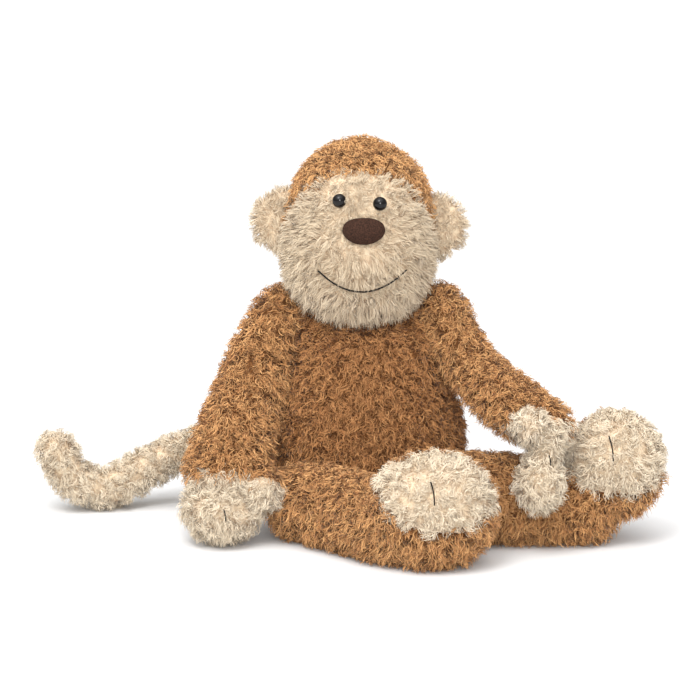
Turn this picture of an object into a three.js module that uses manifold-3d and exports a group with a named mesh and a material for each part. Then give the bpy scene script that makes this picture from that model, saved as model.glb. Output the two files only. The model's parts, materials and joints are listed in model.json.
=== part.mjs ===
// A seated stuffed monkey with jointed head, arms, legs and tail.
// Millimetres, +Z up. The monkey faces -Y and its right side is at -X.
// The origin is the centre of the flat seat face.
import * as THREE from 'three';
import { mergeVertices } from 'three/addons/utils/BufferGeometryUtils.js';
import Module from 'manifold-3d';

const wasm = await Module();
wasm.setup();

// ---------------------------------------------------------------- dimensions
const SKIN = 2.4;            // plush backing plus the root of its pile
const GAP = 0.3;             // between pieces sewn or pressed against each other
const FILL_GAP = 0.35;       // between a skin and the stuffing behind it
const SOCKET_GAP = 1.6;      // around a limb end that turns in the torso
const KNOT_R = 3.5;          // the sewing knot at the middle of a limb's end
const SIDES = 12;            // facets round a limb
const SPARE_STEPS = 2;       // sections along a limb, beyond one for each point of its path
const CAP_STEPS = 2;         // sections over a limb's rounded end

const SEAT = { halfWidth: 32, halfDepth: 26, thickness: 3 };
const TORSO = [
  // height, half width, half depth
  [0, 36, 30],
  [5, 45, 37],
  [20, 52, 42],
  [45, 58, 43],
  [70, 56, 40],
  [95, 48, 35],
  [112, 42, 31],
  [121, 36.5, 27.5],
  [125.5, 26.5, 19.5],
  [127.5, 13, 12],
];
const POUCH_TOP = 34;        // the pellet pouch fills the torso up to here

const NECK = { at: [-1, 0, 129], radius: 9 };
const HEAD_AT = [-3.5, -2, 183];
const HEAD_TILT = THREE.MathUtils.degToRad(2.1);
const HEAD = [
  // height, half width, half depth
  [-52, 13, 13],
  [-46, 28, 28],
  [-35, 39, 40],
  [-18, 43, 45],
  [-4, 43, 44.5],
  [10, 41, 41.5],
  [24, 38, 38.5],
  [37, 31.7, 32.3],
  [46, 21, 22],
  [52, 7, 7],
];
const FACE_TOP = { y: -31, z: 42.5 };      // where the face seam crosses the brow
const FACE_SIDE = { y: 5, z: -22 };      // and where it passes the cheek
const EYE = { middle: -0.6, across: 11.7, up: 22, drop: 0.4, radius: 4.1, height: 3.4, stalk: 1.4, hole: 1.8, slack: 2.4 };
const EYE_POCKET = { radius: 7, depth: 8 };       // in the stuffing, behind each eye
const WASHER = { radius: 6, thickness: 1.4, bore: 1.7 };
const NOSE = { at: [2.4, 5.5], halfWidth: 12.3, halfHeight: 7.8, thickness: 3.4 };
const MOUTH = { across: 2.4, halfWidth: 26, end: -18, middle: -30.2, slope: 0.7, radius: 0.6 };
const EAR = { across: 44.5, up: 2, radius: 17.8, taper: 2.5, panel: 3.6, back: 4.5 };

const SHOULDER_R = 13.5;
const RIGHT_ARM = {
  pivot: [-49.5, 2, 133.5],
  path: [[-63, -10, 107], [-72, -25, 81], [-79, -40, 58], [-83, -47, 44]],
  radii: [SHOULDER_R, 16, 18.5, 21, 22],
  cuff: { at: [-83, -48, 38], dir: [-0.1, -0.45, -0.89] },
  lobes: [
    { at: [-85, -54, 23], size: [22, 20, 18.5] },
    { at: [-62, -58, 36], size: [12, 11, 14] },
  ],
  stitch: { at: [-83, 0, 24], length: 7 },
};
const LEFT_ARM = {
  pivot: [45.6, 2, 134],
  path: [[56.5, -12, 112.5], [70.5, -30, 97], [87, -50, 86], [108, -70, 77]],
  radii: [SHOULDER_R, 13, 13.5, 15.5, 13],
  cuff: { at: [108, -70, 77], dir: [-0.18, -0.7, -0.7] },
  lobes: [
    { at: [96, -86, 80.5], size: [8.5, 9, 8.5] },
    { at: [102, -79, 77], size: [9, 10, 9] },
    { at: [105, -78, 66], size: [9, 10, 17] },
    { at: [102.5, -84, 45], size: [13, 12, 14.5] },
  ],
  stitch: { at: [108, 0, 60], length: 7 },
};

const HIP_R = 21.5;
const HIP_ROOM = 3;          // round a thigh's end, in the torso
const LIMB_GAP = 1;          // between a limb and the torso, anywhere in a thigh's range
// A leg's turns are the [spread, raise] in degrees that the belly leaves room for.
const RIGHT_LEG = {
  pivot: [-36.5, -40, 24],
  path: [[-7, -67, 24], [14, -91, 24.5], [32, -103, 28]],
  radii: [HIP_R, 21.5, 22, 23],
  foot: { at: [39, -105.5, 35.5], size: [36, 25, 32.5] },
  sole: { at: [43.5, 50], size: [34.5, 23], back: -104 },
  stitch: { at: [38.5, 0, 51], length: 14 },
  spreadAxis: [0, 0, -1],
  raiseAxis: [-0.7526, -0.6585, 0],
  turns: [[0, 0], [10, 12], [20, 0], [0, 12], [0, 25], [20, 25], [0, -15], [20, -15]],
};
const LEFT_LEG = {
  pivot: [28, -34, 24.5],
  path: [[64, -42, 26.5], [98, -45, 25.5], [130, -46, 24]],
  radii: [HIP_R, 25, 24, 21.5],
  foot: { at: [148, -46, 48], size: [29, 24, 30.5] },
  sole: { at: [149, 59], size: [34, 25], back: -40 },
  stitch: { at: [145, 0, 62], length: 18 },
  spreadAxis: [0, 0, 1],
  raiseAxis: [-0.0867, -0.9962, 0],
  turns: [[0, 0], [12, 0], [0, -20], [12, -20]],
};

const STITCH_R = 0.6;

const TAIL_ROOM = 3.5;       // between the tail's end and the back around it
const TAIL = {
  pivot: [-6, 46, 42],
  opening: { towards: [0.95, -0.32, 0], radius: 4 },
  path: [[-38, 57, 44], [-74, 56, 41.5], [-104, 50, 37], [-134, 42, 25],
    [-161, 33, 12], [-180, 28, 20], [-190, 25, 40]],
  radii: [8, 9, 9.5, 9.5, 10.5, 11, 11, 10.5],
};

// ------------------------------------------------------------------ materials
function material(name, color, roughness, metalness = 0) {
  const made = new THREE.MeshStandardMaterial({ color, roughness, metalness });
  made.name = name;
  return made;
}
const brownPlush = material('brown_plush', 0xb07a44, 0.95);
const creamPlush = material('cream_plush', 0xdfcdaf, 0.95);
const suede = material('nose_suede', 0x4a2c22, 0.8);
const eyeGloss = material('eye_gloss', 0x0b0808, 0.12);
const washerPlastic = material('washer_plastic', 0xe8e6df, 0.5);
const thread = material('dark_thread', 0x241a16, 0.75);
const filling = material('filling', 0xf3f1ea, 1);
const pouchCloth = material('pouch_cloth', 0xd9d2c2, 0.9);

// -------------------------------------------------------------------- solids
const vec = (p) => new THREE.Vector3(...p);

function solid(geometry) {
  const bare = geometry.clone();
  bare.deleteAttribute('normal');
  bare.deleteAttribute('uv');
  const welded = mergeVertices(bare, 1e-4);
  return new wasm.Manifold(new wasm.Mesh({
    numProp: 3,
    vertProperties: new Float32Array(welded.attributes.position.array),
    triVerts: new Uint32Array(welded.index.array),
  }));
}

function sphere(at, radius, steps = SIDES) {
  return solid(new THREE.SphereGeometry(radius, steps, steps * 2 / 3)).translate(at);
}

function ellipsoid(at, size, steps = 12) {
  return solid(new THREE.SphereGeometry(1, steps, 8)).rotate([90, 0, 0])
    .scale(size).translate(at);
}

// A closed skin over a list of rings, each a list of points.
function loft(rings, first, last) {
  const points = [first, ...rings.flat(), last];
  const sides = rings[0].length;
  const index = [];
  for (let i = 0; i < sides; i++) {
    const next = (i + 1) % sides;
    index.push(0, 1 + next, 1 + i);
    for (let r = 0; r < rings.length - 1; r++) {
      const a = 1 + r * sides;
      const b = a + sides;
      index.push(a + i, a + next, b + next, a + i, b + next, b + i);
    }
    const end = 1 + (rings.length - 1) * sides;
    index.push(points.length - 1, end + i, end + next);
  }
  const geometry = new THREE.BufferGeometry();
  geometry.setAttribute('position',
    new THREE.Float32BufferAttribute(points.flatMap((p) => [p.x, p.y, p.z]), 3));
  geometry.setIndex(index);
  return solid(geometry);
}

// Stacked ellipses of [height, half width, half depth], shrunk by inset.
function stack(rows, inset = 0, sides = 20) {
  const bottom = rows[0][0];
  const top = rows[rows.length - 1][0];
  const height = (z) => bottom + inset + (z - bottom) * (top - bottom - 2 * inset) / (top - bottom);
  const rings = rows.map(([z, across, deep]) => {
    const ring = [];
    for (let i = 0; i < sides; i++) {
      const turn = 2 * Math.PI * i / sides;
      ring.push(new THREE.Vector3(
        Math.max(across - inset, 1) * Math.cos(turn),
        Math.max(deep - inset, 1) * Math.sin(turn),
        height(z)));
    }
    return ring;
  });
  return loft(rings, new THREE.Vector3(0, 0, height(bottom)), new THREE.Vector3(0, 0, height(top)));
}

// A round limb along a curve through its pivot and path, with rounded ends.
function limb({ pivot, path, radii }, inset = 0) {
  const curve = new THREE.CatmullRomCurve3([vec(pivot), ...path.map(vec)], false, 'centripetal');
  const steps = path.length + SPARE_STEPS;
  const frames = curve.computeFrenetFrames(steps);
  const stations = [];
  for (let i = 0; i <= steps; i++) {
    const share = i / steps;
    const spot = curve.getUtoTmapping(share) * (radii.length - 1);
    const low = Math.min(Math.floor(spot), radii.length - 2);
    const radius = THREE.MathUtils.lerp(radii[low], radii[low + 1], spot - low) - inset;
    stations.push({ centre: curve.getPointAt(share), radius, i });
  }
  const ring = (centre, radius, i) => {
    const points = [];
    for (let k = 0; k < SIDES; k++) {
      const turn = 2 * Math.PI * k / SIDES;
      points.push(centre.clone()
        .addScaledVector(frames.normals[i], radius * Math.cos(turn))
        .addScaledVector(frames.binormals[i], radius * Math.sin(turn)));
    }
    return points;
  };
  const cap = ({ centre, radius, i }, way) => {
    const rings = [];
    for (let c = CAP_STEPS; c >= 1; c--) {
      const tilt = Math.PI / 2 * c / (CAP_STEPS + 1);
      const along = centre.clone().addScaledVector(frames.tangents[i], way * radius * Math.sin(tilt));
      rings.push(ring(along, radius * Math.cos(tilt), i));
    }
    return way < 0 ? rings : rings.reverse();
  };
  const start = stations[0];
  const end = stations[steps];
  const tip = (s, way) => s.centre.clone().addScaledVector(frames.tangents[s.i], way * s.radius);
  return loft(
    [...cap(start, -1), ...stations.map((s) => ring(s.centre, s.radius, s.i)), ...cap(end, 1)],
    tip(start, -1), tip(end, 1));
}

// Everything on the far side of a plane.
function beyond(at, dir) {
  const reach = 400;
  const turn = new THREE.Quaternion().setFromUnitVectors(new THREE.Vector3(0, 0, 1), vec(dir).normalize());
  const block = new THREE.BoxGeometry(reach, reach, reach).translate(0, 0, reach / 2);
  return solid(block.applyQuaternion(turn).translate(...at));
}

function shifted(at, dir, by) {
  return vec(at).addScaledVector(vec(dir).normalize(), by).toArray();
}

// A cord along a curve, with flat ends.
function cord(points, radius, steps) {
  const section = new THREE.Shape().absarc(0, 0, radius, 0, 2 * Math.PI);
  return new THREE.ExtrudeGeometry(section, {
    steps,
    curveSegments: 3,
    extrudePath: new THREE.CatmullRomCurve3(points),
  });
}

// A body turned about a line through a point.
function turned(body, at, axis, degrees) {
  const turn = new THREE.Matrix4()
    .makeRotationAxis(vec(axis).normalize(), THREE.MathUtils.degToRad(degrees));
  return body.translate(at.map((x) => -x)).transform([...turn.elements]).translate(at);
}

function biggest(body) {
  return body.decompose().sort((a, b) => b.volume() - a.volume())[0];
}

function mesh(name, shape, surface) {
  let geometry = shape;
  if (!shape.isBufferGeometry) {
    const made = biggest(shape).getMesh();
    geometry = new THREE.BufferGeometry();
    geometry.setAttribute('position', new THREE.Float32BufferAttribute(made.vertProperties, 3));
    geometry.setIndex([...made.triVerts]);
    geometry.computeVertexNormals();
  }
  const piece = new THREE.Mesh(geometry, surface);
  piece.name = name;
  return piece;
}

// --------------------------------------------------------------------- torso
const LIMB_ENDS = [
  [RIGHT_ARM.pivot, SHOULDER_R + SOCKET_GAP],
  [LEFT_ARM.pivot, SHOULDER_R + SOCKET_GAP],
  [RIGHT_LEG.pivot, HIP_R + HIP_ROOM],
  [LEFT_LEG.pivot, HIP_R + HIP_ROOM],
  [TAIL.pivot, TAIL.radii[0] + TAIL_ROOM],
  [NECK.at, NECK.radius + SOCKET_GAP],
];

function torsoBody(inset) {
  const ends = LIMB_ENDS.reduce(
    (body, [at, radius]) => body.subtract(sphere(at, radius + inset)),
    stack(TORSO, inset));
  const sockets = [RIGHT_ARM, LEFT_ARM].reduce(
    (body, arm) => body.subtract(limb(arm, -inset - LIMB_GAP)), ends);
  return [RIGHT_LEG, LEFT_LEG].reduce((body, leg) => {
    const thigh = limb(leg, -inset - LIMB_GAP);
    return leg.turns.reduce((left, [spread, raise]) => {
      const raised = turned(thigh, leg.pivot, leg.raiseAxis, raise);
      return left.subtract(turned(raised, leg.pivot, leg.spreadAxis, spread));
    }, body);
  }, sockets);
}

function torso() {
  const group = new THREE.Group();
  const seatHole = solid(new THREE.CylinderGeometry(1, 1, 3 * SEAT.thickness, 32))
    .rotate([90, 0, 0]).scale([SEAT.halfWidth + GAP, SEAT.halfDepth + GAP, 1]);
  const seat = solid(new THREE.CylinderGeometry(1, 1, SEAT.thickness, 32))
    .rotate([90, 0, 0]).scale([SEAT.halfWidth, SEAT.halfDepth, 1]).translate([0, 0, SEAT.thickness / 2]);
  const inside = torsoBody(SKIN + FILL_GAP);
  const floor = SEAT.thickness + FILL_GAP;
  const pouch = inside.trimByPlane([0, 0, 1], floor).trimByPlane([0, 0, -1], -POUCH_TOP);
  group.add(
    mesh('torso_skin', torsoBody(0).subtract(torsoBody(SKIN)).subtract(seatHole), brownPlush),
    mesh('seat_panel', seat, brownPlush),
    mesh('pellet_pouch', pouch, pouchCloth),
    mesh('torso_filling', inside.trimByPlane([0, 0, 1], POUCH_TOP + GAP), filling),
    mesh('neck_core', ellipsoid(NECK.at, [NECK.radius, NECK.radius, NECK.radius], SIDES), filling),
  );
  return group;
}

// ---------------------------------------------------------------------- head
// Built upright round its own middle, then tilted and set on the neck.
function headBody(inset) {
  const place = new THREE.Matrix4().makeRotationY(HEAD_TILT).setPosition(...HEAD_AT);
  const neck = vec(NECK.at).applyMatrix4(place.invert()).toArray();
  return stack(HEAD, inset).subtract(sphere(neck, NECK.radius + SOCKET_GAP + inset));
}

function faceSide(by) {
  const along = new THREE.Vector2(FACE_SIDE.y - FACE_TOP.y, FACE_SIDE.z - FACE_TOP.z).normalize();
  const dir = [0, along.y, -along.x];
  return beyond(shifted([0, FACE_TOP.y, FACE_TOP.z], dir, by), dir);
}

// Where a line straight back from (across, up) meets the face.
function facePoint(across, up, inset = 0) {
  const row = HEAD.findIndex(([z]) => z > up);
  const [z0, w0, d0] = HEAD[row - 1];
  const [z1, w1, d1] = HEAD[row];
  const share = (up - z0) / (z1 - z0);
  const wide = THREE.MathUtils.lerp(w0, w1, share) - inset;
  const deep = THREE.MathUtils.lerp(d0, d1, share) - inset;
  return [across, -deep * Math.sqrt(1 - (across / wide) ** 2), up];
}

function faceNormal(across, up) {
  const here = vec(facePoint(across, up));
  const side = vec(facePoint(across + 1, up)).sub(here);
  const rise = vec(facePoint(across, up + 1)).sub(here);
  return side.cross(rise).normalize();
}

function domed(radius, height, stem, stemLength) {
  const profile = [[0, -stemLength], [stem, -stemLength], [stem, 0.2], [radius * 0.96, 0.2]];
  for (let i = 0; i <= 5; i++) {
    const tilt = Math.PI / 2 * i / 5;
    profile.push([radius * Math.cos(tilt), 0.5 + height * Math.sin(tilt)]);
  }
  return new THREE.LatheGeometry(profile.map(([r, h]) => new THREE.Vector2(Math.max(r, 0), h)), 20);
}

function onFace(geometry, across, up, lift) {
  const normal = faceNormal(across, up);
  const turn = new THREE.Quaternion().setFromUnitVectors(new THREE.Vector3(0, 1, 0), normal);
  const spot = vec(facePoint(across, up)).addScaledVector(normal, lift);
  return geometry.applyQuaternion(turn).translate(spot.x, spot.y, spot.z);
}

function mouthLine() {
  const points = [];
  for (let i = -4; i <= 4; i++) {
    const share = i / 4;
    const up = MOUTH.middle + (MOUTH.end - MOUTH.middle) * share ** 2 + MOUTH.slope * share;
    const across = MOUTH.across + share * MOUTH.halfWidth;
    const spot = vec(facePoint(across, up));
    points.push(spot.addScaledVector(faceNormal(across, up), MOUTH.radius + GAP));
  }
  return cord(points, MOUTH.radius, 16);
}

function ear(side, front) {
  const disc = solid(new THREE.CylinderGeometry(EAR.radius, EAR.radius - EAR.taper, EAR.panel, 24))
    .rotate([front ? 0 : 180, 0, 0])
    .translate([side * EAR.across, (front ? -1 : 1) * (EAR.panel + GAP) / 2 + EAR.back, EAR.up]);
  return disc.subtract(stack(HEAD, -GAP));
}

function head() {
  const group = new THREE.Group();
  group.position.set(...HEAD_AT);
  group.rotation.y = HEAD_TILT;
  const shell = headBody(0).subtract(headBody(SKIN));
  const eyes = [-1, 1].map((side) => [side, side < 0 ? 'right' : 'left']);
  const stalkLength = SKIN + WASHER.thickness + EYE.slack + 1;
  let face = shell.intersect(faceSide(GAP / 2));
  let stuffing = headBody(SKIN + FILL_GAP);
  for (const [side, name] of eyes) {
    const at = [EYE.middle + side * EYE.across, EYE.up - side * EYE.drop];
    const hole = solid(onFace(new THREE.CylinderGeometry(EYE.hole, EYE.hole, 4 * SKIN, 12), ...at, -SKIN));
    const { radius, depth } = EYE_POCKET;
    const pocket = solid(onFace(new THREE.CylinderGeometry(radius, radius, 2 * depth, 16), ...at, -SKIN));
    face = face.subtract(hole);
    stuffing = stuffing.subtract(pocket);
    const ringShape = new THREE.LatheGeometry([
      new THREE.Vector2(WASHER.bore, 0),
      new THREE.Vector2(WASHER.radius, 0),
      new THREE.Vector2(WASHER.radius, WASHER.thickness),
      new THREE.Vector2(WASHER.bore, WASHER.thickness),
      new THREE.Vector2(WASHER.bore, 0),
    ], 16);
    const bead = domed(EYE.radius, EYE.height, EYE.stalk, stalkLength);
    const washerLift = -SKIN - WASHER.thickness - EYE.slack;
    group.add(
      mesh(`${name}_eye`, onFace(bead, ...at, GAP), eyeGloss),
      mesh(`${name}_eye_washer`, onFace(ringShape, ...at, washerLift), washerPlastic),
      mesh(`${name}_ear_front`, ear(side, true), creamPlush),
      mesh(`${name}_ear_back`, ear(side, false), creamPlush),
    );
  }
  const noseSpot = facePoint(...NOSE.at);
  const nose = ellipsoid([noseSpot[0], noseSpot[1], noseSpot[2]],
    [NOSE.halfWidth, NOSE.thickness, NOSE.halfHeight]).subtract(stack(HEAD, -GAP));
  group.add(
    mesh('face_panel', face, creamPlush),
    mesh('head_back_skin', shell.subtract(faceSide(-GAP / 2)), brownPlush),
    mesh('head_filling', stuffing, filling),
    mesh('nose_pad', nose, suede),
    mesh('mouth_stitch', mouthLine(), thread),
  );
  return group;
}

// ---------------------------------------------------------------------- arms
function armBody(arm, inset) {
  return arm.lobes.reduce(
    (body, lobe) => body.add(ellipsoid(lobe.at, lobe.size.map((s) => s - inset))),
    limb(arm, inset));
}

// A limb's stuffing starts past the sewing knot at its end.
function pastKnot(body, { pivot, path }) {
  const dir = vec(path[0]).sub(vec(pivot)).toArray();
  return body.intersect(beyond(shifted(pivot, dir, KNOT_R + 1), dir));
}

// A short straight stitch that lies just in front of a body.
function stitch(body, { at, length }) {
  const line = new THREE.CylinderGeometry(STITCH_R, STITCH_R, length, 8).rotateX(Math.PI / 2);
  const box = body.intersect(solid(new THREE.BoxGeometry(2, 400, length).translate(at[0], 0, at[2])));
  const front = box.boundingBox().min[1];
  return line.translate(at[0], front - STITCH_R - GAP, at[2]);
}

function arm(side, spec) {
  const group = new THREE.Group();
  const outside = armBody(spec, 0);
  const shell = outside.subtract(armBody(spec, SKIN));
  const { at, dir } = spec.cuff;
  const hand = beyond(shifted(at, dir, GAP / 2), dir);
  const sleeve = shell.subtract(beyond(shifted(at, dir, -GAP / 2), dir));
  const stuffing = pastKnot(armBody(spec, SKIN + FILL_GAP), spec);
  group.add(
    mesh(`${side}_sleeve_skin`, sleeve, brownPlush),
    mesh(`${side}_hand_skin`, shell.intersect(hand), creamPlush),
    mesh(`${side}_arm_filling`, stuffing, filling),
    mesh(`${side}_hand_stitch`, stitch(outside, spec.stitch), thread),
    mesh(`${side}_shoulder_knot`, sphere(spec.pivot, KNOT_R, 9), thread),
  );
  return group;
}

// ---------------------------------------------------------------------- legs
function legBody(leg, inset) {
  return limb(leg, inset).add(ellipsoid(leg.foot.at, leg.foot.size.map((s) => s - inset), 16));
}

function solePatch({ sole }, grow) {
  const reach = 60;
  return solid(new THREE.CylinderGeometry(1, 1, reach, 32))
    .scale([sole.size[0] + grow, 1, sole.size[1] + grow])
    .translate([sole.at[0], sole.back + grow - reach / 2, sole.at[1]]);
}

function leg(side, spec) {
  const group = new THREE.Group();
  const outside = legBody(spec, 0);
  const shell = outside.subtract(legBody(spec, SKIN));
  const stuffing = pastKnot(legBody(spec, SKIN + FILL_GAP), spec);
  group.add(
    mesh(`${side}_leg_skin`, shell.subtract(solePatch(spec, GAP / 2)), brownPlush),
    mesh(`${side}_sole_panel`, shell.intersect(solePatch(spec, -GAP / 2)), creamPlush),
    mesh(`${side}_leg_filling`, stuffing, filling),
    mesh(`${side}_sole_stitch`, stitch(outside, spec.stitch), thread),
    mesh(`${side}_hip_knot`, sphere(spec.pivot, KNOT_R, 9), thread),
  );
  return group;
}

// ---------------------------------------------------------------------- tail
function tail() {
  const group = new THREE.Group();
  const { towards, radius } = TAIL.opening;
  const opening = sphere(shifted(TAIL.pivot, towards, TAIL.radii[0]), radius);
  const shell = limb(TAIL).subtract(limb(TAIL, SKIN)).subtract(opening);
  const stuffing = pastKnot(limb(TAIL, SKIN + FILL_GAP), TAIL);
  group.add(
    mesh('tail_skin', shell, creamPlush),
    mesh('tail_filling', stuffing, filling),
    mesh('tail_knot', sphere(TAIL.pivot, KNOT_R, 9), thread),
  );
  return group;
}

const monkey = new THREE.Group();
monkey.add(
  torso(),
  head(),
  arm('right', RIGHT_ARM),
  arm('left', LEFT_ARM),
  leg('right', RIGHT_LEG),
  leg('left', LEFT_LEG),
  tail(),
);
export default monkey;
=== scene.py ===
# A seated stuffed monkey: curly brown plush, shaggy cream plush, bead eyes and a suede nose.
import bpy
import json
import math
import numpy as np
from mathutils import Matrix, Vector
from mathutils.bvhtree import BVHTree
from mathutils.kdtree import KDTree


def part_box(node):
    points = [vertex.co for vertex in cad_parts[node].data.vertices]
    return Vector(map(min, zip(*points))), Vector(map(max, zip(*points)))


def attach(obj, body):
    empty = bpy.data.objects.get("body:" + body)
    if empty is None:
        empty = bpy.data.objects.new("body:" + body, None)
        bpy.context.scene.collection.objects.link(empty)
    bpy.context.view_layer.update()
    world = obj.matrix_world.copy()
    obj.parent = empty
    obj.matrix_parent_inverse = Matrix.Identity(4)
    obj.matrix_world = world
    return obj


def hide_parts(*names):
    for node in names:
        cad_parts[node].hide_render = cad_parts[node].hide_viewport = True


MM = 0.001
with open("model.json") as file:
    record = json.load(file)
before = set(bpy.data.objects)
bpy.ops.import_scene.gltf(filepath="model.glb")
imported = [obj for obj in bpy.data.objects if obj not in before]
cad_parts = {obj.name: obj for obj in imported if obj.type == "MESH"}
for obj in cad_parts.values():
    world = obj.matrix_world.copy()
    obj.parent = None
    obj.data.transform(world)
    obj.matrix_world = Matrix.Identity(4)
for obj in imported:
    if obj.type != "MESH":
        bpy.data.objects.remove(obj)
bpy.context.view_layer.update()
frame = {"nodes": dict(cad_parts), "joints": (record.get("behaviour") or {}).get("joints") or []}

DENSITY = 1.0    # share of the strands that are made

# sizes in millimetres
CLOTH_GROW = 1.6         # the soft surface stands this far outside the stuffing
BODY_VOXEL = 3.0         # remesh size of the torso
LIMB_VOXEL = 2.6         # of the head and legs
ARM_VOXEL = 2.2
TAIL_VOXEL = 1.8
EAR_VOXEL = 1.5
EAR_GROW = 0.2
CHEEK_BULGE = dict(across=29, forward=2, drop=10, radius=11)   # torso cloth beside the neck
SHOULDER_BALL = 10       # rounds the end of an arm at its joint
HIP_BALL = 18
TAIL_BALL = 6
WASHER_BALL = 6          # cloth stands out a little behind each eye
SHORT_PILE = 6.5         # pile length on the ears and tail
LOWEST_TIP = 0.4         # strands lie on the table above this height
NOSE_DEPTH = 5
THREAD_RADIUS = 0.42
MOUTH_RADIUS = 0.5
MOUTH_OUT = 3.5          # the mouth's thread lies this far in front of the CAD stitch, on the short pile
STITCH_OUT = 2.5         # the same for the hands and soles

# shares of the CAD sizes, and an exponent
NOSE_ROUNDNESS = 2.5     # exponent of the pad's outline: 2 is an ellipse
NOSE_NARROW = 0.3        # how much narrower the pad is at its foot
EYE_SWELL = 1.05
EYE_FLATTEN = 0.85

# ---------------------------------------------------------------- materials


def new_material(name):
    made = bpy.data.materials.new(name)
    made.use_nodes = True
    shader = made.node_tree.nodes["Principled BSDF"]
    return made, made.node_tree, shader


def ramp_node(tree, stops):
    ramp = tree.nodes.new("ShaderNodeValToRGB")
    points = ramp.color_ramp.elements
    while len(points) < len(stops):
        points.new(0.5)
    for point, (at, colour) in zip(points, stops):
        point.position = at
        point.color = (*colour, 1)
    return ramp


def pile_material(name, root, low, high, shade_depth, glow):
    """Plush fibre: dark at the root up to a share of its length (shade_depth), which is painted shade deep in
    the pile, and each strand has its own tint.
    """
    made, tree, shader = new_material(name)
    uv = tree.nodes.new("ShaderNodeUVMap")
    uv.uv_map = "OFBake"
    split = tree.nodes.new("ShaderNodeSeparateXYZ")
    middle = tuple((a + b) / 2 for a, b in zip(low, high))
    tint = ramp_node(tree, [(0.0, low), (0.55, middle), (1.0, high)])
    # painted shade: each strand darkens towards the root colour over the given share of its length
    along = ramp_node(tree, [(0.0, (0, 0, 0)), (shade_depth, (0.85, 0.85, 0.85)), (1.0, (1, 1, 1))])
    mix = tree.nodes.new("ShaderNodeMix")
    mix.data_type = "RGBA"
    mix.inputs["A"].default_value = (*root, 1)
    link = tree.links.new
    link(uv.outputs["UV"], split.inputs["Vector"])
    link(split.outputs["X"], tint.inputs["Fac"])
    link(split.outputs["Y"], along.inputs["Fac"])
    link(along.outputs["Color"], mix.inputs["Factor"])
    link(tint.outputs["Color"], mix.inputs["B"])
    link(mix.outputs["Result"], shader.inputs["Base Color"])
    shader.inputs["Roughness"].default_value = 0.75
    shader.inputs["Specular IOR Level"].default_value = 0.15
    shader.inputs["Sheen Weight"].default_value = glow
    shader.inputs["Sheen Roughness"].default_value = 0.6
    return made


def cloth_material(name, dark, light, scale, bump):
    """Woven backing seen between the strands."""
    made, tree, shader = new_material(name)
    place = tree.nodes.new("ShaderNodeTexCoord")
    noise = tree.nodes.new("ShaderNodeTexNoise")
    noise.inputs["Scale"].default_value = scale
    noise.inputs["Detail"].default_value = 6
    tree.links.new(place.outputs["Object"], noise.inputs["Vector"])
    ramp = ramp_node(tree, [(0.3, dark), (0.7, light)])
    lump = tree.nodes.new("ShaderNodeBump")
    lump.inputs["Strength"].default_value = bump
    lump.inputs["Distance"].default_value = 0.5 * MM
    link = tree.links.new
    link(noise.outputs["Fac"], ramp.inputs["Fac"])
    link(ramp.outputs["Color"], shader.inputs["Base Color"])
    link(noise.outputs["Fac"], lump.inputs["Height"])
    link(lump.outputs["Normal"], shader.inputs["Normal"])
    shader.inputs["Roughness"].default_value = 0.9
    shader.inputs["Specular IOR Level"].default_value = 0.2
    return made


# each root colour is painted shade deep in the pile; the brown's is nearly black and covers more of each
# strand
BROWN_PILE = pile_material("brown_pile", root=(0.085, 0.025, 0.006), low=(0.38, 0.155, 0.050),
                           high=(0.88, 0.51, 0.215), shade_depth=0.7, glow=0.12)
CREAM_PILE = pile_material("cream_pile", root=(0.60, 0.43, 0.28), low=(0.60, 0.475, 0.325),
                           high=(0.95, 0.85, 0.68), shade_depth=0.45, glow=0.3)
BROWN_CLOTH = cloth_material("brown_cloth", (0.13, 0.050, 0.015), (0.24, 0.10, 0.032), 900, 0.5)
CREAM_CLOTH = cloth_material("cream_cloth", (0.70, 0.56, 0.39), (0.80, 0.67, 0.49), 900, 0.5)
SUEDE = cloth_material("suede", (0.016, 0.007, 0.004), (0.058, 0.025, 0.015), 1100, 0.8)
THREAD = cloth_material("thread", (0.006, 0.005, 0.005), (0.018, 0.014, 0.012), 2500, 0.4)

EYE_BLACK, _, eye_shader = new_material("eye_black")
eye_shader.inputs["Base Color"].default_value = (0.004, 0.003, 0.003, 1)
eye_shader.inputs["Roughness"].default_value = 0.05
eye_shader.inputs["Specular IOR Level"].default_value = 0.33

# ------------------------------------------------------------ small helpers


def mesh_object(name, verts, faces, material):
    data = bpy.data.meshes.new(name)
    data.from_pydata([tuple(v) for v in verts], [], [tuple(int(i) for i in f) for f in faces])
    data.materials.append(material)
    data.polygons.foreach_set("use_smooth", np.ones(len(data.polygons), bool))
    made = bpy.data.objects.new(name, data)
    bpy.context.scene.collection.objects.link(made)
    return made


def centre(node):
    low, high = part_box(node)
    return (low + high) / 2


def joint(name):
    return next(j for j in frame["joints"] if j["name"] == name)


def joint_at(name):
    return Vector(joint(name)["pos_m"])


def node_mesh(name):
    data = frame["nodes"][name].data
    verts = np.array([v.co[:] for v in data.vertices])
    faces = [tuple(p.vertices) for p in data.polygons]
    return verts, faces


def node_tree(name):
    verts, faces = node_mesh(name)
    return BVHTree.FromPolygons(verts.tolist(), faces)


def distance_to(tree, points):
    return np.array([tree.find_nearest(p)[3] for p in points])


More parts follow.
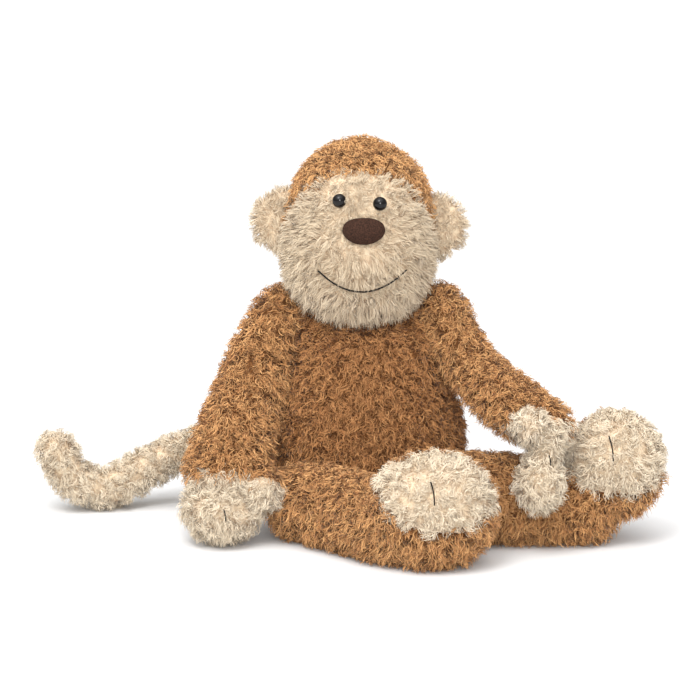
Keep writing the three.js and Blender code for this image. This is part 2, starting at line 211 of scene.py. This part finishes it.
def ball(at, radius, steps=16):
    verts, faces = [], []
    rows = steps // 2
    for r in range(1, rows):
        tilt = math.pi * r / rows
        for s in range(steps):
            turn = 2 * math.pi * s / steps
            level = math.sin(tilt)
            spot = Vector((level * math.cos(turn), level * math.sin(turn), math.cos(tilt)))
            verts.append(at + radius * spot)
    verts += [at + Vector((0, 0, radius)), at - Vector((0, 0, radius))]
    top, bottom = len(verts) - 2, len(verts) - 1
    last = (rows - 2) * steps
    for s in range(steps):
        n = (s + 1) % steps
        faces.append((top, s, n))
        faces.append((bottom, last + n, last + s))
        for r in range(rows - 2):
            a = r * steps
            faces.append((a + s, a + steps + s, a + steps + n, a + n))
    return np.array([v[:] for v in verts]), faces


def soft_surface(nodes, balls, voxel, grow, smooth=12):
    """One smooth closed surface round the stuffing nodes and any extra balls, as arrays."""
    verts, faces = [], []
    shapes = [node_mesh(n) for n in nodes] + [ball(Vector(at), r) for at, r in balls]
    for v, f in shapes:
        start = sum(len(x) for x in verts)
        verts.append(v)
        faces += [tuple(i + start for i in face) for face in f]
    rough = mesh_object("rough", np.concatenate(verts), faces, BROWN_CLOTH)
    remesh = rough.modifiers.new("remesh", "REMESH")
    remesh.mode = "VOXEL"
    remesh.voxel_size = voxel
    ease = rough.modifiers.new("ease", "SMOOTH")
    ease.factor = 0.5
    ease.iterations = smooth
    swell = rough.modifiers.new("swell", "DISPLACE")
    swell.strength = grow
    swell.mid_level = 0
    bpy.context.view_layer.update()
    shaped = rough.evaluated_get(bpy.context.evaluated_depsgraph_get()).to_mesh()
    shaped.calc_loop_triangles()
    points = np.empty(len(shaped.vertices) * 3)
    shaped.vertices.foreach_get("co", points)
    tris = np.empty(len(shaped.loop_triangles) * 3, int)
    shaped.loop_triangles.foreach_get("vertices", tris)
    normals = np.empty(len(shaped.vertices) * 3)
    shaped.vertices.foreach_get("normal", normals)
    bpy.data.objects.remove(rough)
    return points.reshape(-1, 3), tris.reshape(-1, 3), normals.reshape(-1, 3)


def nearest_node(points, nodes):
    """The index in nodes of the CAD node whose surface is nearest, for each point."""
    far = np.stack([distance_to(node_tree(n), points) for n in nodes], 1)
    return far.argmin(1)


# --------------------------------------------------------------------- pile


def unit(v):
    return v / np.maximum(np.linalg.norm(v, axis=-1, keepdims=True), 1e-12)


def scatter(points, tris, normals, count, rng):
    a, b, c = (points[tris[:, k]] for k in range(3))
    area = np.linalg.norm(np.cross(b - a, c - a), axis=1) / 2
    pick = rng.choice(len(tris), count, p=area / area.sum())
    u, v = rng.random(count), rng.random(count)
    flip = u + v > 1
    u[flip], v[flip] = 1 - u[flip], 1 - v[flip]
    w = 1 - u - v
    spots = a[pick] * w[:, None] + b[pick] * u[:, None] + c[pick] * v[:, None]
    na, nb, nc = (normals[tris[pick, k]] for k in range(3))
    return spots, unit(na * w[:, None] + nb * u[:, None] + nc * v[:, None])


def surface_area(points, tris):
    a, b, c = (points[tris[:, k]] for k in range(3))
    return (np.linalg.norm(np.cross(b - a, c - a), axis=1) / 2).sum()


def strand_roots(surface, kind, length_at, rng):
    """Where strands start, the cloth's normal there and how long each strand is."""
    points, tris, normals = surface
    count = max(int(surface_area(points, tris) / (kind["spacing"] * MM) ** 2 * DENSITY), 30)
    roots, out = scatter(points, tris, normals, count, rng)
    reach = kind["length"] * MM * rng.uniform(0.75, 1.2, count)
    if length_at is not None:
        share = length_at(roots)
        keep = share > 0
        roots, out, reach = roots[keep], out[keep], (reach * share)[keep]
    return roots, out, reach


def gather_tufts(roots, kind, rng):
    """Every strand joins the nearest tuft head: the heads' indices, and each strand's tuft."""
    tufts = max(int(len(roots) / kind["tuft"]), 1)
    heads = rng.choice(len(roots), tufts, replace=False)
    tree = KDTree(tufts)
    for i, h in enumerate(heads):
        tree.insert(roots[h], i)
    tree.balance()
    return heads, np.array([tree.find(root)[1] for root in roots])


def strand_lines(roots, out, reach, kind, comb, heads, mine, rng):
    """The middle line of each strand, (count, steps + 1, 3), and a sideways direction for each strand."""
    count, tufts, steps = len(roots), len(heads), kind["steps"]
    head = heads[mine]
    lie = comb(roots, out)
    side = unit(np.cross(out, rng.normal(size=(count, 3))))
    stray = rng.normal(size=(count, 3)) * kind["stray"]
    tuft_stray = (rng.normal(size=(tufts, 3)) * kind["tuft_stray"])[mine]
    lean = unit(out * kind["lift"] + lie * kind["lean"] + stray + tuft_stray)
    lean = unit(lean + out * np.clip(0.15 - (lean * out).sum(1), 0, None)[:, None])

    # each tuft has its own curl: a plane, a sense and a phase
    curl_u = unit(np.cross(lean[head], rng.normal(size=(tufts, 3))[mine]))
    curl_w = np.cross(lean[head], curl_u)
    phase = (rng.uniform(0, 2 * np.pi, tufts))[mine] + rng.normal(size=count) * 0.5
    sense = rng.choice([-1, 1], tufts)[mine]
    turns = kind["turns"] * rng.uniform(0.7, 1.3, count)
    radius = kind["curl"] * MM * rng.uniform(0.6, 1.4, count)
    tip_pull = kind["gather"] * rng.uniform(0.7, 1.0, count)
    droop = np.array([0, 0, -kind["droop"]])
    start = curl_u * np.cos(phase)[:, None] + curl_w * np.sin(phase)[:, None]

    lines = np.empty((count, steps + 1, 3))
    for s in range(steps + 1):
        t = s / steps
        straight = roots + lean * (reach * t)[:, None] + droop * (reach * t * t)[:, None]
        angle = phase + sense * turns * 2 * np.pi * t
        curl = curl_u * np.cos(angle)[:, None] + curl_w * np.sin(angle)[:, None]
        lines[:, s] = straight + (radius * min(1, 2.2 * t))[:, None] * (curl - start * 0.6)
    for s in range(1, steps + 1):
        pull = (tip_pull * (s / steps) ** 0.8)[:, None]
        lines[:, s] = lines[:, s] * (1 - pull) + lines[head, s] * pull
    low = LOWEST_TIP * MM
    below = lines[:, :, 2] < low
    lines[:, :, 2] = np.where(below, low + (low - lines[:, :, 2]) * 0.15, lines[:, :, 2])
    return lines, side


def ribbon_sides(lines, side, out, kind, rng):
    """Half the width of each ribbon across its line, and the soft normal it is shaded with."""
    count, steps = len(lines), kind["steps"]
    ahead = unit(np.gradient(lines, axis=1))
    across = unit(np.cross(ahead, side[:, None, :] + rng.normal(size=(count, 1, 3)) * 0.5))
    facing = np.cross(across, ahead)
    across = across * np.where((facing * out[:, None, :]).sum(-1, keepdims=True) < 0, -1, 1)
    facing = np.cross(across, ahead)
    soft = unit(facing * (1 - kind["softness"]) + out[:, None, :] * kind["softness"])
    taper = np.array([1 - 0.25 * (s / steps) for s in range(steps + 1)])
    taper[-1] = 0.25
    half_width = kind["width"] * MM / 2 * rng.uniform(0.75, 1.25, count)
    return across * half_width[:, None, None] * taper[None, :, None], soft


def ribbon_mesh(name, lines, half, soft):
    """Quads along every strand, as one mesh with the soft normals."""
    count, steps = len(lines), lines.shape[1] - 1
    verts = np.stack([lines - half, lines + half], axis=2).reshape(-1)
    base = (np.arange(count) * 2 * (steps + 1))[:, None]
    quad = np.concatenate([[2 * s, 2 * s + 1, 2 * s + 3, 2 * s + 2] for s in range(steps)])
    loops = (base + quad[None, :]).reshape(-1)
    data = bpy.data.meshes.new(name)
    data.vertices.add(len(verts) // 3)
    data.vertices.foreach_set("co", verts.astype(np.float32))
    data.loops.add(len(loops))
    data.loops.foreach_set("vertex_index", loops.astype(np.int32))
    data.polygons.add(count * steps)
    data.polygons.foreach_set("loop_start", (np.arange(count * steps) * 4).astype(np.int32))
    data.polygons.foreach_set("use_smooth", np.ones(count * steps, bool))
    data.update(calc_edges=True)
    data.normals_split_custom_set_from_vertices(np.repeat(soft, 2, 1).reshape(-1, 3))
    return data


def tint_layer(data, kind, mine, tufts, steps, rng):
    """UV layer for the pile material: x is the strand's tint, y runs from root to tip."""
    count = len(mine)
    tint = rng.beta(2.2, 2.2, count) * 0.75 + rng.random(tufts)[mine] * 0.25
    dark, light = kind["tint"]
    tint = 0.985 * (dark + (light - dark) * tint)
    u = np.stack([tint, tint + 0.012, tint + 0.012, tint], 1)
    u = np.repeat(u[:, None, :], steps, 1)
    v = np.array([[s / steps, s / steps, (s + 1) / steps, (s + 1) / steps] for s in range(steps)])
    v = np.repeat(v[None], count, 0)
    layer = data.uv_layers.new(name="OFBake")
    layer.data.foreach_set("uv", np.stack([u, v], -1).reshape(-1).astype(np.float32))


def grow_pile(name, surface, kind, comb, seed, material, length_at=None):
    """Strands over a surface, gathered in tufts, as one mesh. comb(points, normals) gives their lie."""
    rng = np.random.default_rng(seed)
    roots, out, reach = strand_roots(surface, kind, length_at, rng)
    heads, mine = gather_tufts(roots, kind, rng)
    lines, side = strand_lines(roots, out, reach, kind, comb, heads, mine, rng)
    half, soft = ribbon_sides(lines, side, out, kind, rng)
    data = ribbon_mesh(name, lines, half, soft)
    tint_layer(data, kind, mine, len(heads), kind["steps"], rng)
    data.materials.append(material)
    made = bpy.data.objects.new(name, data)
    bpy.context.scene.collection.objects.link(made)
    return made


# Pile kinds, in millimetres and shares. spacing: between roots. tuft: strands in a tuft. stray and
# tuft_stray: how untidy strands and tufts are. lift and lean: up from the cloth and along its lie.
# turns, curl and gather: the curl of a tuft and how far its tips close up. tint: darkest and lightest.
CURLY = dict(spacing=0.85, length=8.5, width=0.48, tuft=7, stray=0.35, tuft_stray=0.6, lift=0.75,
             lean=0.35, turns=1.1, curl=1.5, gather=0.55, droop=0.25, steps=6, softness=0.35,
             tint=(0.0, 1.0))
# SHAGGY keeps to the darker tints (0 to 0.4): painted shade on the face and ears, which face the light less
# than the hands and soles
SHAGGY = dict(spacing=0.72, length=9.0, width=0.38, tuft=14, stray=0.22, tuft_stray=0.42, lift=0.75,
              lean=0.55, turns=0.5, curl=1.1, gather=0.42, droop=0.12, steps=4, softness=0.4,
              tint=(0.0, 0.4))
# FLUFFY keeps to the lighter tints (0.2 to 0.95): painted light on the hands, soles and tail, which face the
# light
FLUFFY = dict(SHAGGY, length=7.5, lift=0.8, lean=0.3, tuft_stray=0.6, tuft=18, gather=0.32,
              turns=0.8, curl=1.5, tint=(0.2, 0.95))

# ------------------------------------------------------------------ lie of the pile


def hang(points, out):
    """Brown pile: falls a little, with no strong lie."""
    down = np.tile(np.array([0, 0, -1.0]), (len(points), 1))
    return down - out * (down * out).sum(1)[:, None]


def away_from(at, flat=None):
    """Cream pile: runs away from a point, or from the line through it along the unit vector flat."""
    def comb(points, out):
        way = points - np.array(at)
        if flat is not None:
            way = way - np.array(flat) * (way @ np.array(flat))[:, None]
        way = way - out * (way * out).sum(1)[:, None]
        far = np.linalg.norm(way, axis=1, keepdims=True)
        return way / np.maximum(far, 6 * MM)
    return comb


# ------------------------------------------------------------------ soft parts


def part_of(surface, picked, which):
    points, tris, normals = surface
    chosen = tris[picked == which]
    used, renumbered = np.unique(chosen, return_inverse=True)
    return points[used], renumbered.reshape(-1, 3), normals[used]


def plush(body, surface, layers, seed):
    """Cloth and pile for each CAD skin node of a body. A layer names the node, colour, comb and pile kind."""
    points, tris, normals = surface
    middles = points[tris].mean(1)
    picked = nearest_node(middles, [row["node"] for row in layers])
    for i, row in enumerate(layers):
        piece = part_of(surface, picked, i)
        brown = row["colour"] == "brown"
        stem = row["node"].replace("_skin", "").replace("_panel", "")
        cloth = mesh_object(f"{stem}_cloth", piece[0], piece[1], BROWN_CLOTH if brown else CREAM_CLOTH)
        pile = grow_pile(f"{stem}_pile", piece, row["kind"], row["comb"], seed + i,
                         BROWN_PILE if brown else CREAM_PILE, row.get("length_at"))
        for made in (cloth, pile):
            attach(made, body)
        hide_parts(row["node"])


def layer(node, colour, comb, kind=None, **more):
    usual = CURLY if colour == "brown" else SHAGGY
    return dict(node=node, colour=colour, comb=comb, kind=kind or usual, **more)


GROW = CLOTH_GROW * MM

# the cloth of the torso bulges beside the neck, under the cheeks
cheeks = []
for side in (-1, 1):
    across, forward = side * CHEEK_BULGE["across"] * MM, -CHEEK_BULGE["forward"] * MM
    up = joint_at("neck_nod").z - CHEEK_BULGE["drop"] * MM
    cheeks.append((Vector((across, forward, up)), CHEEK_BULGE["radius"] * MM))
torso_surface = soft_surface(["torso_filling", "pellet_pouch"], cheeks, BODY_VOXEL * MM, GROW)
# the torso's pile keeps to the darker tints (0 to 0.45): painted shade from the head above it
plush("torso", torso_surface, [layer("torso_skin", "brown", hang, kind=dict(CURLY, tint=(0.0, 0.45)))], 10)

# the head: short pile round the eyes and nose, long pile on the cheeks and chin
nose_at = centre("nose_pad")
eyes_at = [centre("right_eye"), centre("left_eye")]
washers = [(centre(f"{side}_eye_washer"), WASHER_BALL * MM) for side in ("right", "left")]
head_surface = soft_surface(["head_filling"], washers, LIMB_VOXEL * MM, GROW)
mouth_points = np.array([v.co[:] for v in frame["nodes"]["mouth_stitch"].data.vertices])
mouth_tree = KDTree(len(mouth_points))
for i, p in enumerate(mouth_points):
    mouth_tree.insert(p, i)
mouth_tree.balance()
brown_tree = node_tree("head_back_skin")
face_tree = node_tree("face_panel")


def face_length(points):
    """Pile length over the face, as a share. Distances are in millimetres.

    It is short at the hairline, eyes, nose and mouth and long under the chin.
    """
    share = np.ones(len(points))
    for eye in eyes_at:
        far = np.linalg.norm((points - np.array(eye)) * (1, 0.5, 1), axis=1) / MM
        share = np.minimum(share, np.where(far < 3.6, 0, 0.38 + 0.62 * np.clip((far - 4) / 11, 0, 1)))
    far = np.linalg.norm((points - np.array(nose_at)) / (12.3 * MM, 20 * MM, 7.8 * MM), axis=1)
    share = np.minimum(share, np.where(far < 0.85, 0, 0.38 + 0.62 * np.clip((far - 0.9) / 1.2, 0, 1)))
    gap = np.array([mouth_tree.find(p)[2] for p in points]) / MM
    share = np.minimum(share, np.where(gap < 2.0, 0.15, 0.4 + 0.6 * np.clip(gap / 8, 0, 1)))
    seam = distance_to(brown_tree, points) / MM
    above = np.clip((points[:, 2] - nose_at.z) / (10 * MM), 0, 1)
    beside = np.clip(np.abs(points[:, 0] - nose_at.x) / (20 * MM), 0, 1)
    brow = above * np.clip(1 - (seam - 2) / 8, 0, 1) * (1 - 0.8 * beside)
    chin = np.clip((mouth_points[:, 2].min() - 6 * MM - points[:, 2]) / (12 * MM), 0, 1)
    return share * (1 - 0.55 * brow) * (1 + 0.3 * chin)


def hair_length(points):
    """Pile length over the brown of the head, as a share: shorter where it meets the face."""
    seam = distance_to(face_tree, points) / MM
    return 0.4 + 0.6 * np.clip((seam - 2) / 8, 0, 1)


def face_lie(points, out):
    """The pile runs away from the nose and parts round each eye."""
    way = away_from(nose_at, flat=(0, 1, 0))(points, out)
    for eye in eyes_at:
        off = points - np.array(eye)
        far = np.linalg.norm(off, axis=1, keepdims=True)
        way = way + 1.6 * unit(off) * np.exp(-(far / (8 * MM)) ** 2)
    way = way - out * (way * out).sum(1)[:, None]
    return way / np.maximum(np.linalg.norm(way, axis=1, keepdims=True), 1)


plush("head", head_surface, [
    layer("face_panel", "cream", face_lie, length_at=face_length),
    # the brown of the head keeps to the lighter tints (0.4 to 1): painted light on the crown, which faces the
    # light overhead
    layer("head_back_skin", "brown", hang, kind=dict(CURLY, tint=(0.4, 1.0)), length_at=hair_length),
], 20)

for side in ("right", "left"):
    ear_nodes = [f"{side}_ear_front", f"{side}_ear_back"]
    ear_surface = soft_surface(ear_nodes, [], EAR_VOXEL * MM, EAR_GROW * MM, smooth=6)
    comb = away_from(centre(ear_nodes[0]))
    ear_kind = dict(SHAGGY, length=SHORT_PILE)
    layers = [layer(node, "cream", comb, kind=ear_kind) for node in ear_nodes]
    plush("head", ear_surface, layers, 30 if side == "right" else 35)

for side, seed in (("right", 40), ("left", 50)):
    root = joint_at(f"{side}_shoulder_lift")
    surface = soft_surface([f"{side}_arm_filling"], [(root, SHOULDER_BALL * MM)], ARM_VOXEL * MM, GROW)
    plush(f"{side}_arm", surface, [
        layer(f"{side}_sleeve_skin", "brown", hang),
        layer(f"{side}_hand_skin", "cream", away_from(root), kind=FLUFFY),
    ], seed)

for side, seed in (("right", 60), ("left", 70)):
    root = joint_at(f"{side}_hip_raise")
    surface = soft_surface([f"{side}_leg_filling"], [(root, HIP_BALL * MM)], LIMB_VOXEL * MM, GROW)
    sole = centre(f"{side}_sole_panel")
    plush(f"{side}_leg", surface, [
        layer(f"{side}_leg_skin", "brown", hang),
        layer(f"{side}_sole_panel", "cream", away_from(sole, flat=(0, 1, 0)), kind=FLUFFY),
    ], seed)

tail_root = joint_at("tail_lift")
tail_surface = soft_surface(["tail_filling"], [(tail_root, TAIL_BALL * MM)], TAIL_VOXEL * MM, GROW)
tail_kind = dict(FLUFFY, length=SHORT_PILE)
plush("tail", tail_surface, [layer("tail_skin", "cream", away_from(tail_root), kind=tail_kind)], 80)

# ------------------------------------------------------------ face and stitches

for side, eye in zip(("right", "left"), eyes_at):
    low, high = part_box(f"{side}_eye")
    radius = (high.z - low.z) / 2 * EYE_SWELL
    verts, faces = ball(Vector((0, 0, 0)), radius, 32)
    verts[:, 1] *= EYE_FLATTEN
    front = Vector((eye.x, low.y + radius * 0.55, eye.z))
    bead = mesh_object(f"{side}_eye_bead", verts + np.array(front), faces, EYE_BLACK)
    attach(bead, "head")
    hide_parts(f"{side}_eye")

low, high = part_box("nose_pad")
verts, faces = ball(Vector((0, 0, 0)), 1.0, 48)
size = (high - low) / 2
outline = np.maximum(np.hypot(verts[:, 0], verts[:, 2]), 1e-6)
sideways, upright = np.abs(verts[:, 0] / outline), np.abs(verts[:, 2] / outline)
corner = (sideways ** NOSE_ROUNDNESS + upright ** NOSE_ROUNDNESS) ** (-1 / NOSE_ROUNDNESS)
narrow = 1 - NOSE_NARROW * np.clip(-verts[:, 2], 0, 1) ** 1.5
verts[:, 0] *= corner * narrow
verts[:, 2] *= corner
verts = verts * np.array([size.x * 1.03, NOSE_DEPTH * MM, size.z * 1.06])
nose_middle = Vector(((low.x + high.x) / 2, low.y + 1.5 * MM, (low.z + high.z) / 2))
nose = mesh_object("nose_suede_pad", verts + np.array(nose_middle), faces, SUEDE)
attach(nose, "head")
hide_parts("nose_pad")


def thread_between(name, path, radius, body, node):
    curve = bpy.data.curves.new(name, "CURVE")
    curve.dimensions = "3D"
    curve.bevel_depth = radius
    curve.bevel_resolution = 3
    line = curve.splines.new("POLY")
    line.points.add(len(path) - 1)
    for point, at in zip(line.points, path):
        point.co = (*at, 1)
    curve.materials.append(THREAD)
    made = bpy.data.objects.new(name, curve)
    bpy.context.scene.collection.objects.link(made)
    bpy.context.view_layer.update()
    solid = bpy.data.meshes.new_from_object(made.evaluated_get(bpy.context.evaluated_depsgraph_get()))
    bpy.data.objects.remove(made)
    kept = bpy.data.objects.new(name, solid)
    bpy.context.scene.collection.objects.link(kept)
    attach(kept, body)
    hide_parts(node)


order = np.argsort(mouth_points[:, 0])
mouth_path = [mouth_points[chunk].mean(0) for chunk in np.array_split(order, 17)]
mouth_path = [Vector(p) + Vector((0, -MOUTH_OUT * MM, 0)) for p in mouth_path]
thread_between("mouth_thread", mouth_path, MOUTH_RADIUS * MM, "head", "mouth_stitch")
for side in ("right", "left"):
    for part, body in ((f"{side}_hand_stitch", f"{side}_arm"), (f"{side}_sole_stitch", f"{side}_leg")):
        low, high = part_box(part)
        raised = 0 if body == "left_arm" else STITCH_OUT * MM    # the left hand's lies in its pile
        x, y = (low.x + high.x) / 2, (low.y + high.y) / 2 - raised
        tall = high.z - low.z
        path = [Vector((x + tall * (0.08 - 0.16 * t + 0.05 * math.sin(math.pi * t)), y, low.z + tall * t))
                for t in np.linspace(0, 1, 8)]
        thread_between(part.replace("stitch", "thread"), path, THREAD_RADIUS * MM, body, part)

# the pieces inside have the colour of the cloth over them, so nothing pale shows in the creases of the hips
INSIDE = ("seat_panel", "pouch", "filling", "knot", "core", "washer")
for name, node in frame["nodes"].items():
    if any(word in name for word in INSIDE):
        pale = name.startswith(("head", "tail")) or "washer" in name
        node.data.materials.clear()
        node.data.materials.append(CREAM_CLOTH if pale else BROWN_CLOTH)

# ------------------------------------------------------------ floor, light, camera

floor_data = bpy.data.meshes.new("floor")
FLOOR_REACH = 6.0
corners = [(x * FLOOR_REACH, y * FLOOR_REACH, 0) for x, y in ((-1, -1), (1, -1), (1, 1), (-1, 1))]
floor_data.from_pydata(corners, [], [(0, 1, 2, 3)])
white, _, white_shader = new_material("floor_white")
white_shader.inputs["Base Color"].default_value = (0.82, 0.82, 0.82, 1)
white_shader.inputs["Roughness"].default_value = 1.0
white_shader.inputs["Specular IOR Level"].default_value = 0.0
floor_data.materials.append(white)
floor = bpy.data.objects.new("floor", floor_data)
bpy.context.scene.collection.objects.link(floor)

world = bpy.data.worlds.new("studio")
bpy.context.scene.world = world
world.use_nodes = True
world_nodes = world.node_tree.nodes
world_link = world.node_tree.links.new
world_nodes["Background"].inputs["Color"].default_value = (1, 1, 1, 1)
# a plain white room with a broad soft light overhead, a little to the front
sky = world_nodes.new("ShaderNodeTexCoord")
overhead = world_nodes.new("ShaderNodeVectorMath")
overhead.operation = "DOT_PRODUCT"
overhead.inputs[1].default_value = (-0.1, -0.44, 0.89)
world_link(sky.outputs["Generated"], overhead.inputs[0])
last = overhead.outputs["Value"]
OVERHEAD_FOCUS, OVERHEAD_LIGHT, ROOM_LIGHT = 4.0, 3.05, 0.45
sky_steps = (("MAXIMUM", 0.0), ("POWER", OVERHEAD_FOCUS), ("MULTIPLY_ADD", OVERHEAD_LIGHT, ROOM_LIGHT))
for operation, *numbers in sky_steps:
    step = world_nodes.new("ShaderNodeMath")
    step.operation = operation
    for socket, number in zip(step.inputs[1:], numbers):
        socket.default_value = number
    world_link(last, step.inputs[0])
    last = step.outputs["Value"]
world_link(last, world_nodes["Background"].inputs["Strength"])


def area_light(name, at, aim, width, power):
    lamp = bpy.data.lights.new(name, "AREA")
    lamp.shape = "RECTANGLE"
    lamp.size = lamp.size_y = width
    lamp.energy = power
    made = bpy.data.objects.new(name, lamp)
    made.location = at
    made.rotation_euler = (Vector(aim) - Vector(at)).to_track_quat("-Z", "Y").to_euler()
    bpy.context.scene.collection.objects.link(made)


area_light("key", at=(-0.35, -1.1, 1.5), aim=(0, 0, 0.1), width=0.7, power=11)
area_light("window", at=(0.12, -1.4, 0.5), aim=(0, 0, 0.15), width=0.4, power=7)

ELEVATION = math.radians(12)
DISTANCE = 2.4
FIELD_WIDTH = 0.420      # metres across the picture at the object
SENSOR = 36
aim = Vector((-9 * MM, -20 * MM, 111.6 * MM))
camera_data = bpy.data.cameras.new("camera")
camera_data.sensor_width = SENSOR
camera_data.lens = SENSOR * DISTANCE / FIELD_WIDTH
camera = bpy.data.objects.new("camera", camera_data)
camera.location = aim + DISTANCE * Vector((0, -math.cos(ELEVATION), math.sin(ELEVATION)))
camera.rotation_euler = (aim - camera.location).to_track_quat("-Z", "Y").to_euler()
bpy.context.scene.collection.objects.link(camera)
bpy.context.scene.camera = camera
bpy.context.scene.view_settings.view_transform = "Standard"
